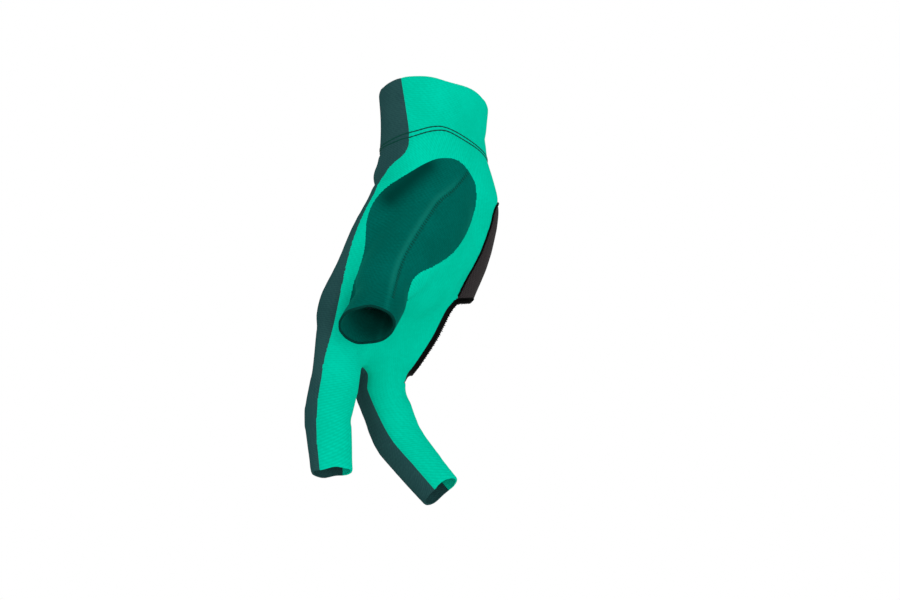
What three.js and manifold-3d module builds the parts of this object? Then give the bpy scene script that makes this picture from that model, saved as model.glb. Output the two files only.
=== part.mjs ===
// A three-finger billiard glove for a right hand, hanging fingers down from its wrist opening.
// Millimetres, +Z up. +X is the side that the palm bends to, -Y the thumb side, +Y the little-finger side.
// The origin is the centre of the wrist opening.
import * as THREE from 'three';
import { LoftGeometry } from 'three/addons/geometries/LoftGeometry.js';
import { mergeVertices } from 'three/addons/utils/BufferGeometryUtils.js';
import Module from 'manifold-3d';

const wasm = await Module();
wasm.setup();

// Driving dimensions
const CLOTH = 1.5; // thickness of the stretch knit wall, over its seam allowances
const GAP = 0.3; // clearance kept between two sewn panels
const BINDING = 2.6; // width of the black binding round the open side
const THUMB_BINDING = 1.6; // width of the dark edge round the thumb hole
const OVERRUN = 4; // how far a hollow runs on past its open end
const ABOVE_RIM = 25; // height of a cutting block above the wrist opening
const WELD = 1e-4; // points closer than this are one point
const HAND_SIDES = 36; // facets round the hand
const FINGER_SIDES = 18; // facets round a finger stall
const RING_STEP = 7.5; // longest distance between two rings of facets
const LINE_STEPS = 2; // straight steps between two named places of a border
const SQUARENESS = 2.25; // exponent of a hand section: 2 is an ellipse
const REACH = 200; // half size of a cutting block, larger than the glove

// Rows of values under named columns
function table(columns, ...rows) {
  return rows.map((row) => Object.fromEntries(columns.map((column, k) => [column, row[k]])));
}

// Sections of the hand from the wrist opening down.
// z, y: centre of the section. left, right: its ends across the front view. reach: half its depth.
// flat: thickness over breadth. turn: angle of its breadth from the line of sight.
// hollow: depth of the palm's dent over the thickness. lean, roll: tip of its plane.
const HAND = table(
  ['name', 'z', 'y', 'left', 'right', 'reach', 'flat', 'turn', 'hollow', 'lean', 'roll'],
  ['rim', 0, 0, -24.9, 25, 26.3, 0.72, 38, 0, 25, 4.6],
  ['cuff', -12.6, -6, -24, 24, 26, 0.72, 38, 0, 24, 4.5],
  ['seam', -24.3, -11, -24, 24.9, 26.2, 0.72, 38, 0, 23, 4.5],
  ['wrist', -31.5, -13.5, -24.9, 26.2, 27, 0.7, 39, 0, 20, 4.5],
  ['heel', -44, -17, -27.9, 28.9, 29.5, 0.64, 40, 0.05, 13, 2.5],
  ['upper_palm', -57, -19.5, -35.3, 28.3, 32.5, 0.56, 42, 0.15, 7, 1],
  ['palm', -72, -21.5, -42.4, 25, 34.5, 0.5, 44, 0.25, 3, 0],
  ['lower_palm', -86, -23, -49.9, 19.6, 34.8, 0.45, 45, 0.25, 0, 0],
  ['knuckles', -97, -24, -52.2, 15, 34, 0.44, 45, 0.15, 0, 0],
  ['webs', -109, -21.5, -49.5, 9.5, 31, 0.46, 45, 0, 0, 0],
  ['under_webs', -119, -19, -42, 2, 23.5, 0.52, 45, 0, 0, 0],
  ['closed_end', -123.5, -18.5, -33, -6, 15, 0.6, 45, 0, 0, 0],
);
const BACK_SHIFT = 7; // the back panel's hidden border, behind the middle of each hand section
const BACK_END = -140; // height that the hand's back panel stops above, past the closed end
const INDEX_TURN = 36; // turn of the border plane along the index stall
const MIDDLE_TURN = 27; // turn of the border plane along the middle stall
const STALL_SPLIT = -40.6; // depth between the index and middle stalls
const STALL_REACH = 14; // half size of a block round one stall
const THUMB_BACK = { y: 0, z: -25, lean: 50 }; // plane behind the thumb panel
const SEAM_ROW = HAND.find((row) => row.name === 'seam');

// Centres and half widths of the three stalls, each from its root inside the hand to its open end
const INDEX = table(
  ['name', 'x', 'y', 'z', 'across', 'deep'],
  ['root', -40.2, -46.5, -92, 10.6, 10.2],
  ['first_joint', -42, -49.4, -110, 11, 10.6],
  ['crotch', -43.5, -51, -124, 11.1, 10.5],
  ['above_knuckle', -45.9, -51.8, -135.5, 11.2, 10.2],
  ['knuckle', -47, -52, -141.5, 10.6, 10],
  ['below_knuckle', -46.6, -52, -149, 9.9, 9.5],
  ['open_end', -44.8, -54.6, -166, 8.8, 8.8],
);
const MIDDLE = table(
  ['name', 'x', 'y', 'z', 'across', 'deep'],
  ['root', -27.6, -31, -100, 10.8, 10.6],
  ['first_joint', -26.8, -30, -115, 11.1, 10.9],
  ['crotch', -24.3, -29.2, -128.7, 11.3, 10.8],
  ['knuckle', -20, -29, -140.4, 11.2, 10.5],
  ['below_knuckle', -16.8, -29, -149.4, 10.8, 10],
  ['bend', -12.6, -29.8, -155.8, 10.2, 9.6],
  ['open_end', 2.9, -35.5, -174.3, 8.6, 8.6],
);
const THUMB = table(
  ['name', 'x', 'y', 'z', 'across', 'deep'],
  ['root', 5, -10, -38, 12, 14],
  ['upper_ball', 2, -24, -47, 17, 17],
  ['ball', -4.5, -38, -59, 17.5, 17],
  ['ball_end', -12.5, -50.5, -70.5, 16.3, 15.5],
  ['knuckle', -20.3, -61.5, -81, 13.8, 13],
  ['stall', -24.9, -71.5, -89.5, 12.5, 12.2],
  ['near_end', -28.7, -79, -95.6, 12, 11.8],
  ['open_end', -29.5, -84.5, -100.4, 11.7, 11.4],
);

// Borders between panels in the front view, each a smooth line through named places,
// running with its panel, or the open side, on its right hand
const BACK_BORDER = table(
  ['name', 'x', 'z'],
  ['above_rim', -15.2, 22],
  ['rim', -14.4, 10.8],
  ['cuff', -12.4, -2],
  ['seam', -10.8, -14.5],
  ['wrist_turn', -12.2, -22.5],
  ['wrist', -20.6, -31],
  ['heel', -29, -46],
  ['palm', -36.9, -66.2],
  ['knuckles', -44, -99],
  ['webs', -49.1, -119],
  ['index_knuckle', -51.8, -141.5],
  ['index_end', -50.9, -166.5],
  ['below_end', -50, -178],
);
const MIDDLE_BORDER = table(
  ['name', 'x', 'z'],
  ['above_web', -37, -108],
  ['crotch', -31.5, -123.8],
  ['knuckle', -25.7, -138.2],
  ['bend', -18.5, -151.7],
  ['stall', -8.1, -163.8],
  ['end', 0.5, -173.7],
  ['below_end', 6, -180],
);
const MESH_BORDER = table(
  ['name', 'x', 'z'],
  ['below', 3, -104],
  ['corner', 9, -92],
  ['lower_palm', 14.9, -80.1],
  ['palm', 21.2, -68.4],
  ['heel', 25.7, -56.3],
  ['top', 28.6, -46.5],
  ['outside', 36, -40.5],
);
const OPEN_SIDE = table(
  ['name', 'x', 'z'],
  ['crotch', -12.8, -126.4],
  ['middle_root', -7.6, -121.5],
  ['ring_finger', 1.4, -108],
  ['corner', 9.6, -93],
  ['little_finger', 16.7, -90.6],
  ['outside', 44, -90],
);
const THUMB_PANEL = table(
  ['name', 'x', 'z'],
  ['top', 5.4, -25.2],
  ['top_right', 13, -27.6],
  ['right', 19.2, -40],
  ['lower_right', 16.6, -57.5],
  ['waist', 4.6, -72.2],
  ['web', -6, -80],
  ['stall_right', -6, -94],
  ['hole_right', -14, -109],
  ['hole_below', -30, -115],
  ['hole_left', -44.5, -107],
  ['stall_left', -41.4, -92.5],
  ['web_left', -36.4, -82.5],
  ['knuckle_left', -32.2, -71.5],
  ['ball_left', -28.2, -50],
  ['left', -18.4, -36.6],
  ['top_left', -4.6, -27.4],
);

// One fabric for each panel
const fabric = (color, roughness) => new THREE.MeshStandardMaterial({ color, roughness, metalness: 0 });
const FABRICS = {
  cuff_front: fabric(0x00c8a5, 0.7),
  cuff_back: fabric(0x264b4d, 0.75),
  front_panel: fabric(0x00c8a5, 0.7),
  back_panel: fabric(0x264b4d, 0.75),
  thumb_panel: fabric(0x005c4e, 0.6),
  thumb_binding: fabric(0x0a2f2c, 0.7),
  mesh_panel: fabric(0x231f20, 0.85),
  open_side_binding: fabric(0x050505, 0.8),
};

// Solids and geometries
function toSolid(geometry) {
  const bare = new THREE.BufferGeometry().copy(geometry);
  bare.deleteAttribute('normal');
  bare.deleteAttribute('uv');
  const merged = mergeVertices(bare, WELD);
  const vertProperties = new Float32Array(merged.getAttribute('position').array);
  const triVerts = new Uint32Array(merged.getIndex().array);
  return new wasm.Manifold(new wasm.Mesh({ numProp: 3, vertProperties, triVerts }));
}

function toGeometry(solid) {
  const mesh = solid.getMesh();
  const geometry = new THREE.BufferGeometry();
  geometry.setAttribute('position', new THREE.BufferAttribute(new Float32Array(mesh.vertProperties), 3));
  geometry.setIndex(new THREE.BufferAttribute(new Uint32Array(mesh.triVerts), 1));
  geometry.computeVertexNormals();
  return geometry;
}

function largestPiece(solid) {
  const pieces = solid.decompose();
  return pieces.reduce((best, piece) => (piece.volume() > best.volume() ? piece : best));
}

// Tables read smoothly: a Catmull-Rom value of one column between rows i and i + 1
function readBetween(rows, column, i, part) {
  const last = rows.length - 1;
  const at = (k) => rows[Math.min(Math.max(k, 0), last)][column];
  const [a, b, c, d] = [at(i - 1), at(i), at(i + 1), at(i + 2)];
  const bend = (2 * a - 5 * b + 4 * c - d) * part + (3 * b - a - 3 * c + d) * part * part;
  return b + 0.5 * part * (c - a + bend);
}

function refineRows(rows, columns, step) {
  const fine = [];
  for (let i = 0; i + 1 < rows.length; i += 1) {
    const [here, next] = [rows[i], rows[i + 1]];
    const length = Math.hypot((next.x ?? 0) - (here.x ?? 0), next.y - here.y, next.z - here.z);
    const count = Math.max(1, Math.ceil(length / step));
    for (let k = 0; k < count; k += 1) {
      const values = columns.map((column) => [column, readBetween(rows, column, i, k / count)]);
      fine.push(Object.fromEntries(values));
    }
  }
  fine.push({ ...rows[rows.length - 1] });
  return fine;
}

// Hand sections
function sectionFrame(row) {
  const degrees = Math.PI / 180;
  const frame = new THREE.Matrix4().makeTranslation((row.left + row.right) / 2, row.y, row.z);
  frame.multiply(new THREE.Matrix4().makeRotationX(-row.lean * degrees));
  return frame.multiply(new THREE.Matrix4().makeRotationY(row.roll * degrees));
}

function roundPower(value, power) {
  return Math.sign(value) * Math.abs(value) ** power;
}

function handRing(row) {
  const turn = THREE.MathUtils.degToRad(row.turn);
  const flatRing = [];
  for (let k = 0; k < HAND_SIDES; k += 1) {
    const angle = (2 * Math.PI * k) / HAND_SIDES;
    const breadth = roundPower(Math.cos(angle), 2 / SQUARENESS);
    let palm = row.flat * roundPower(Math.sin(angle), 2 / SQUARENESS);
    if (palm > 0) palm -= palm * row.hollow * Math.exp(-((breadth / 0.5) ** 2));
    const x = breadth * Math.sin(turn) + palm * Math.cos(turn);
    const y = breadth * Math.cos(turn) - palm * Math.sin(turn);
    flatRing.push(new THREE.Vector3(x, y, 0));
  }
  const box = new THREE.Box3().setFromPoints(flatRing);
  const middle = box.getCenter(new THREE.Vector3());
  const size = box.getSize(new THREE.Vector3());
  const fit = new THREE.Vector3((row.right - row.left) / size.x, (2 * row.reach) / size.y, 1);
  const frame = sectionFrame(row);
  return flatRing.map((point) => point.sub(middle).multiply(fit).applyMatrix4(frame));
}

function handRings() {
  const columns = ['z', 'y', 'left', 'right', 'reach', 'flat', 'turn', 'hollow', 'lean', 'roll'];
  return refineRows(HAND, columns, RING_STEP).map(handRing);
}

// Stall sections, square to the line through their centres
function stallRings(rows) {
  const fine = refineRows(rows, ['x', 'y', 'z', 'across', 'deep'], RING_STEP);
  const centres = fine.map((row) => new THREE.Vector3(row.x, row.y, row.z));
  return fine.map((row, i) => {
    const before = centres[Math.max(i - 1, 0)];
    const after = centres[Math.min(i + 1, centres.length - 1)];
    const along = after.clone().sub(before).normalize();
    const across = along.clone().cross(new THREE.Vector3(0, 1, 0)).normalize();
    const deep = across.clone().cross(along).normalize();
    return Array.from({ length: FINGER_SIDES }, (_, k) => {
      const angle = (2 * Math.PI * k) / FINGER_SIDES;
      const point = centres[i].clone().addScaledVector(across, row.across * Math.cos(angle));
      return point.addScaledVector(deep, row.deep * Math.sin(angle));
    });
  });
}

// A closed skin through the rings, with flat ends
function centreOf(ring) {
  return ring.reduce((sum, point) => sum.add(point), new THREE.Vector3()).divideScalar(ring.length);
}

function skin(rings) {
  const [first, next] = rings;
  const along = centreOf(next).sub(centreOf(first));
  const winding = first.reduce((sum, point, k) => {
    return sum.add(point.clone().cross(first[(k + 1) % first.length]));
  }, new THREE.Vector3());
  const sections = winding.dot(along) > 0 ? rings : rings.map((ring) => [...ring].reverse());
  return toSolid(new LoftGeometry(sections, { capStart: true, capEnd: true }));
}

// The same rings moved in by the wall
function inset(rings, wall) {
  const sides = rings[0].length;
  return rings.map((ring, i) => {
    const before = rings[Math.max(i - 1, 0)];
    const after = rings[Math.min(i + 1, rings.length - 1)];
    const centre = centreOf(ring);
    return ring.map((point, k) => {
      const around = ring[(k + 1) % sides].clone().sub(ring[(k + sides - 1) % sides]);
      const normal = after[k].clone().sub(before[k]).cross(around).normalize();
      if (normal.dot(point.clone().sub(centre)) < 0) normal.negate();
      return point.clone().addScaledVector(normal, -wall);
    });
  });
}

function runOn(end, next, distance) {
  return end.map((point, k) => point.clone().add(point.clone().sub(next[k]).setLength(distance)));
}

function openFirst(rings) {
  return [runOn(rings[0], rings[1], OVERRUN), ...rings];
}

function openLast(rings) {
  return openFirst([...rings].reverse());
}

// Cutting blocks
function smoothLine(rows) {
  const places = rows.map((row) => new THREE.Vector2(row.x, row.z));
  return new THREE.SplineCurve(places).getPoints(LINE_STEPS * (rows.length - 1));
}

function offsetLine(points, distance) {
  const closed = points[0].distanceTo(points[points.length - 1]) < CLOTH;
  const count = points.length;
  return points.map((point, i) => {
    const before = points[closed ? (i + count - 1) % count : Math.max(i - 1, 0)];
    const after = points[closed ? (i + 1) % count : Math.min(i + 1, count - 1)];
    const along = after.clone().sub(before).normalize();
    return new THREE.Vector2(point.x - along.y * distance, point.y + along.x * distance);
  });
}

// Everything inside an outline of the front view, between two depths
function frontPrism(outline, nearY, farY) {
  const options = { depth: farY - nearY, bevelEnabled: false };
  const geometry = new THREE.ExtrudeGeometry(new THREE.Shape(outline), options);
  geometry.rotateX(Math.PI / 2);
  geometry.translate(0, farY, 0);
  return toSolid(geometry);
}

function beside(line, corners, nearY = -REACH, farY = REACH) {
  return frontPrism([...line, ...corners.map(([x, z]) => new THREE.Vector2(x, z))], nearY, farY);
}

function halfSpace(frame) {
  const block = new THREE.BoxGeometry(2 * REACH, 2 * REACH, 2 * REACH);
  block.translate(0, 0, REACH);
  block.applyMatrix4(frame);
  return toSolid(block);
}

// A block on the back-of-hand side of a surface that runs along the breadth of each section
function sectionBlock(frames, halfBreadth, from, to) {
  const corners = [[-halfBreadth, from], [halfBreadth, from], [halfBreadth, to], [-halfBreadth, to]];
  return skin(frames.map(({ frame, turn }) => corners.map(([along, out]) => {
    const x = along * Math.sin(turn) - out * Math.cos(turn);
    const y = along * Math.cos(turn) + out * Math.sin(turn);
    return new THREE.Vector3(x, y, 0).applyMatrix4(frame);
  })));
}

function handBackBlock(shift) {
  const rows = HAND.map((row) => ({ ...row }));
  rows[0].z = ABOVE_RIM;
  rows[rows.length - 1].z = BACK_END;
  const frames = rows.map((row) => ({ frame: sectionFrame(row), turn: THREE.MathUtils.degToRad(row.turn) }));
  return sectionBlock(frames, REACH / 2, shift, REACH / 2);
}

function stallBackBlock(rows, turn, shift) {
  const last = rows[rows.length - 1];
  const before = rows[rows.length - 2];
  const beyond = { x: 1.5 * last.x - 0.5 * before.x, y: last.y, z: 1.5 * last.z - 0.5 * before.z };
  const frames = [...rows, beyond].map((row) => ({
    frame: new THREE.Matrix4().makeTranslation(row.x, row.y, row.z),
    turn: THREE.MathUtils.degToRad(turn),
  }));
  return sectionBlock(frames, STALL_REACH, shift, STALL_REACH);
}

// The regions of the panels, each grown by a margin
function regions(margin) {
  const left = -REACH / 2;
  const backLine = offsetLine(smoothLine(BACK_BORDER), margin);
  const middleLine = offsetLine(smoothLine(MIDDLE_BORDER), margin);
  const back = beside(backLine, [[left, -REACH], [left, REACH / 4]])
    .add(beside(middleLine, [[left, -REACH], [left, MIDDLE_BORDER[0].z]], STALL_SPLIT))
    .add(handBackBlock(BACK_SHIFT - margin))
    .add(stallBackBlock(INDEX, INDEX_TURN, -margin))
    .add(stallBackBlock(MIDDLE, MIDDLE_TURN, -margin));
  const mesh = beside(offsetLine(smoothLine(MESH_BORDER), margin), [[REACH, 0], [REACH, -REACH]]);
  const outline = offsetLine(smoothLine([...THUMB_PANEL, THUMB_PANEL[0]]), margin);
  const nearThumb = new THREE.Matrix4().makeTranslation(0, THUMB_BACK.y + margin, THUMB_BACK.z);
  nearThumb.multiply(new THREE.Matrix4().makeRotationX(THREE.MathUtils.degToRad(THUMB_BACK.lean)));
  const thumb = frontPrism(outline, -REACH, REACH)
    .intersect(halfSpace(nearThumb))
    .subtract(handBackBlock(BACK_SHIFT + margin));
  return { back, mesh, thumb };
}

function openSideBlock(margin) {
  const [crotch] = OPEN_SIDE;
  return beside(offsetLine(smoothLine(OPEN_SIDE), margin), [[REACH, crotch.z]]);
}

function seamBlock(margin) {
  return halfSpace(sectionFrame(SEAM_ROW).multiply(new THREE.Matrix4().makeTranslation(0, 0, -margin)));
}

// A block past the last ring of the thumb stall
function thumbEndBlock(distance) {
  const [before, last] = stallRings(THUMB).slice(-2).map(centreOf);
  const along = last.clone().sub(before).normalize();
  const turn = new THREE.Quaternion().setFromUnitVectors(new THREE.Vector3(0, 0, 1), along);
  const place = last.addScaledVector(along, -distance);
  return halfSpace(new THREE.Matrix4().compose(place, turn, new THREE.Vector3(1, 1, 1)));
}

// The shell of the whole glove: its outer form less the hollow for the hand
function gloveShell() {
  const hand = handRings();
  const stalls = [INDEX, MIDDLE, THUMB].map(stallRings);
  const outer = stalls.map(skin).reduce((sum, stall) => sum.add(stall), skin(hand));
  const handHollow = skin(openFirst(inset(hand, CLOTH)));
  const hollows = stalls.map((rings) => skin(openLast(inset(rings, CLOTH))));
  return outer.subtract(hollows.reduce((sum, hollow) => sum.add(hollow), handHollow));
}

// The panels: what is left of the shell between the seams
function glovePieces() {
  const shell = gloveShell();
  const cut = regions(0);
  const clear = regions(GAP);
  const sewn = shell.subtract(openSideBlock(BINDING + GAP));
  const cuff = sewn.intersect(seamBlock(0));
  const hand = sewn.subtract(seamBlock(GAP));
  const thumb = hand.intersect(cut.thumb);
  const aroundThumb = hand.subtract(clear.thumb).subtract(clear.mesh);
  return {
    cuff_front: cuff.subtract(clear.back),
    cuff_back: cuff.intersect(cut.back),
    front_panel: aroundThumb.subtract(clear.back),
    back_panel: aroundThumb.intersect(cut.back),
    thumb_panel: thumb.subtract(thumbEndBlock(THUMB_BINDING + GAP)),
    thumb_binding: thumb.intersect(thumbEndBlock(THUMB_BINDING)),
    mesh_panel: hand.intersect(cut.mesh),
    open_side_binding: shell.intersect(openSideBlock(BINDING)).subtract(openSideBlock(0)),
  };
}

const glove = new THREE.Group();
for (const [name, solid] of Object.entries(glovePieces())) {
  const mesh = new THREE.Mesh(toGeometry(largestPiece(solid)), FABRICS[name]);
  mesh.name = name;
  glove.add(mesh);
}

export default glove;
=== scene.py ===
"""Looks of a three-finger billiard glove for a right hand, hanging fingers down from its wrist opening.

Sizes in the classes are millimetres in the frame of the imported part: +Z up, +X the side that the
palm bends to, -Y the thumb side. Meshes are in metres.
"""

import sys
import logging
import math
from dataclasses import dataclass, field
from enum import Enum
from typing import Callable, Sequence

import bmesh
import bpy
import numpy as np
from mathutils import Matrix, Vector, noise
from mathutils.bvhtree import BVHTree


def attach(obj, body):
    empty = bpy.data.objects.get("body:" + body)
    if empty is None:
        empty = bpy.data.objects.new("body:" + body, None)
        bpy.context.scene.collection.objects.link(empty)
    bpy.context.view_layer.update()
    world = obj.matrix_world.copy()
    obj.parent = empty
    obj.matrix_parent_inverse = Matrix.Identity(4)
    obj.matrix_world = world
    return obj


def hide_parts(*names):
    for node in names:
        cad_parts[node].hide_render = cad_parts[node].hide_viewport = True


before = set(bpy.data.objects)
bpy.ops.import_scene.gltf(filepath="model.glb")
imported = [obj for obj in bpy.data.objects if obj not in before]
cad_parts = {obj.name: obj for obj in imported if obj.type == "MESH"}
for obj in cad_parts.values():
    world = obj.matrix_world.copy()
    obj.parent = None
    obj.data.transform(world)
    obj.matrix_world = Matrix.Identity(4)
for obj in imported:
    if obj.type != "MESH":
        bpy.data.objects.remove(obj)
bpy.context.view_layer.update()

MM = 0.001
# Name of the point attribute of painted light on the thumb panel: painted shade above 0, painted highlight
# below 0.
PAINTED_LIGHT_ATTRIBUTE = "painted_shade"
BODY = "root"
Field = Callable[[np.ndarray], np.ndarray]
log = logging.getLogger("glove")


def linear(hex_colour: str) -> tuple[float, float, float, float]:
    """Turns an sRGB hex colour into linear RGBA.

    Args:
        hex_colour: Six hex digits after a number sign.

    Returns:
        Red, green, blue and a full alpha.
    """
    parts = [int(hex_colour[i : i + 2], 16) / 255 for i in (1, 3, 5)]
    return (*[p / 12.92 if p <= 0.04045 else ((p + 0.055) / 1.055) ** 2.4 for p in parts], 1.0)


def smooth_rows(rows: Sequence[Sequence[float]], step: float, place: Sequence[int]) -> np.ndarray:
    """Reads a table smoothly between its rows, by Catmull-Rom.

    Args:
        rows: The table's numbers.
        step: The longest distance between two readings.
        place: The columns that give where a row is, to measure the distance.

    Returns:
        The readings, one row each.
    """
    table = np.asarray(rows, float)
    held = np.vstack([table[:1], table, table[-1:]])
    fine = []
    for i in range(len(table) - 1):
        a, b, c, d = held[i : i + 4]
        gap = np.linalg.norm((c - b)[list(place)])
        for t in np.arange(max(1, math.ceil(gap / step))) / max(1, math.ceil(gap / step)):
            bend = (2 * a - 5 * b + 4 * c - d) * t + (3 * b - a - 3 * c + d) * t * t
            fine.append(b + 0.5 * t * (c - a + bend))
    return np.array([*fine, table[-1]])


def unit(v: np.ndarray) -> np.ndarray:
    """Scales vectors to length one, along the last axis."""
    return v / np.maximum(np.linalg.norm(v, axis=-1, keepdims=True), 1e-12)


def bell(distance: np.ndarray, width: float) -> np.ndarray:
    """Gives 1 at no distance, falling smoothly to 0 past the width."""
    return np.exp(-((distance / width) ** 2))


def ramp(value: np.ndarray, low: float, high: float) -> np.ndarray:
    """Gives 0 at low, 1 at high and a smooth step between them."""
    t = np.clip((value - low) / (high - low), 0, 1)
    return t * t * (3 - 2 * t)


@dataclass
class FrontLine:
    """A smooth line of the front view, read as (x, z), with its panel on its right hand.

    Attributes:
        places: The named places that it runs through.
        closed: Whether it comes back to its start.
    """

    places: Sequence[tuple[float, float]]
    closed: bool = False
    points: np.ndarray = field(init=False)

    def __post_init__(self) -> None:
        """Works out the line's points."""
        rows = list(self.places)
        if self.closed:
            around = smooth_rows([*rows[-2:], *rows, *rows[:3]], 1.2, (0, 1))
            first = int(np.argmin(np.linalg.norm(around - np.array(rows[0]), axis=1)))
            last = len(around) - 1 - int(np.argmin(np.linalg.norm(around[::-1] - np.array(rows[0]), axis=1)))
            self.points = around[first : last + 1]
        else:
            fine = smooth_rows(rows, 1.2, (0, 1))
            start = fine[0] + unit(fine[0] - fine[1]) * 150
            end = fine[-1] + unit(fine[-1] - fine[-2]) * 150
            self.points = np.vstack([start, fine, end])

    def distance(self, at: np.ndarray) -> np.ndarray:
        """Measures how far points are from the line in the front view.

        Args:
            at: Points in millimetres, one row each.

        Returns:
            The distances, negative on the line's right hand.
        """
        xz = at[:, [0, 2]]
        best = np.full(len(xz), 1e9)
        sign = np.ones(len(xz))
        for a, b in zip(self.points[:-1], self.points[1:]):
            run = b - a
            off = xz - a
            t = np.clip(off @ run / max(run @ run, 1e-12), 0, 1)
            away = off - t[:, None] * run
            square = np.einsum("ij,ij->i", away, away)
            nearer = square < best
            best[nearer] = square[nearer]
            sign[nearer] = np.sign(run[0] * off[nearer, 1] - run[1] * off[nearer, 0])
        return np.sqrt(best) * np.where(sign == 0, 1, sign)


def mesh_of(bm: bmesh.types.BMesh, name: str) -> bpy.types.Mesh:
    """Makes a mesh of a bmesh, which is freed."""
    mesh = bpy.data.meshes.new(name)
    bm.to_mesh(mesh)
    bm.free()
    return mesh


def add_object(name: str, data: bpy.types.ID) -> bpy.types.Object:
    """Puts an object with this data in the scene."""
    obj = bpy.data.objects.new(name, data)
    bpy.context.scene.collection.objects.link(obj)
    return obj


def front_line(*places: tuple[float, float], closed: bool = False) -> FrontLine:
    """Makes a line the default of a plan's field."""
    return field(default_factory=lambda: FrontLine(places, closed))


@dataclass
class HandSleeve:
    """The sleeve round the wrist and palm, as sections from the wrist opening down.

    Attributes:
        rows: z, y, left, right, reach, flat, turn, hollow, lean and roll of each section.
        squareness: The exponent of a section, where 2 is an ellipse.
        sides: Points round a section.
        back_shift: The back panel's hidden border, behind the middle of each section.
        fine: The sections, read finely.
    """

    rows: Sequence[Sequence[float]] = (
        (0, 0, -24.9, 25, 26.3, 0.72, 38, 0, 25, 4.6),
        (-12.6, -6, -24, 24, 26, 0.72, 38, 0, 24, 4.5),
        (-24.3, -11, -24, 25.4, 26.2, 0.72, 38, 0, 23, 4.5),
        (-31.5, -13.5, -24.9, 27.8, 27, 0.7, 39, 0, 20, 4.5),
        (-44, -17, -27.9, 30, 29.5, 0.64, 40, 0.05, 13, 2.5),
        (-57, -19.5, -35.3, 28.6, 32.5, 0.56, 42, 0.15, 7, 1),
        (-72, -21.5, -42.4, 25, 34.5, 0.5, 44, 0.25, 3, 0),
        (-86, -23, -49.9, 19.6, 34.8, 0.45, 45, 0.25, 0, 0),
        (-97, -24, -52.2, 15, 34, 0.44, 45, 0.15, 0, 0),
        (-109, -21.5, -49.5, 9.5, 31, 0.46, 45, 0, 0, 0),
        (-119, -19, -42, 2, 23.5, 0.52, 45, 0, 0, 0),
        (-123.5, -18.5, -33, -6, 15, 0.6, 45, 0, 0, 0),
    )
    squareness: float = 2.25
    sides: int = 64
    back_shift: float = 7.0
    fine: np.ndarray = field(init=False)

    def __post_init__(self) -> None:
        """Reads the sections finely."""
        self.fine = smooth_rows(self.rows, 3.0, (0, 1))

    @staticmethod
    def axes(row: np.ndarray) -> tuple[np.ndarray, np.ndarray]:
        """Gives a section's centre and its turned axes as columns."""
        lean, roll = -math.radians(row[8]), math.radians(row[9])
        sin, cos = math.sin(lean), math.cos(lean)
        about_x = np.array([[1, 0, 0], [0, cos, -sin], [0, sin, cos]])
        sin, cos = math.sin(roll), math.cos(roll)
        about_y = np.array([[cos, 0, sin], [0, 1, 0], [-sin, 0, cos]])
        return np.array([(row[2] + row[3]) / 2, row[1], row[0]]), about_x @ about_y

    def ring(self, row: np.ndarray) -> np.ndarray:
        """Gives the points round one section."""
        angle = np.arange(self.sides) * 2 * math.pi / self.sides
        power = 2 / self.squareness
        breadth = np.sign(np.cos(angle)) * np.abs(np.cos(angle)) ** power
        palm = row[5] * np.sign(np.sin(angle)) * np.abs(np.sin(angle)) ** power
        palm = np.where(palm > 0, palm * (1 - row[7] * np.exp(-((breadth / 0.5) ** 2))), palm)
        sin, cos = math.sin(math.radians(row[6])), math.cos(math.radians(row[6]))
        flat = np.stack([breadth * sin + palm * cos, breadth * cos - palm * sin], 1)
        low, high = flat.min(0), flat.max(0)
        flat = (flat - (low + high) / 2) * np.array([row[3] - row[2], 2 * row[4]]) / (high - low)
        centre, turned = self.axes(row)
        return centre + flat @ turned[:, :2].T

    def rings(self) -> list[np.ndarray]:
        """Gives all rings, with one more above the rim to be cut off."""
        rings = [self.ring(row) for row in self.fine]
        up = self.axes(self.fine[0])[1][:, 2]
        return [rings[0] + 8 * up, *rings]

    def behind(self, at: np.ndarray) -> np.ndarray:
        """Measures how far points are behind the breadth of the section that they are in.

        Args:
            at: Points in millimetres.

        Returns:
            The distance on the back-of-hand side, negative on the palm side.
        """
        frames = [self.axes(row) for row in self.fine]
        heights = np.stack([(at - centre) @ turned[:, 2] for centre, turned in frames])
        upper = np.clip((heights < 0).argmin(0) - 1, 0, len(frames) - 2)
        upper = np.where(heights[0] >= 0, 0, upper)
        upper = np.where(heights[-1] < 0, len(frames) - 2, upper)
        outs = []
        for row, (centre, turned) in zip(self.fine, frames):
            turn = math.radians(row[6])
            local = (at - centre) @ turned
            outs.append(-local[:, 0] * math.cos(turn) + local[:, 1] * math.sin(turn))
        outs = np.stack(outs)
        every = np.arange(len(at))
        above, below = heights[upper, every], heights[upper + 1, every]
        part = np.clip(above / np.where(np.abs(above - below) < 1e-9, 1e-9, above - below), 0, 1)
        return outs[upper, every] * (1 - part) + outs[upper + 1, every] * part


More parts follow.
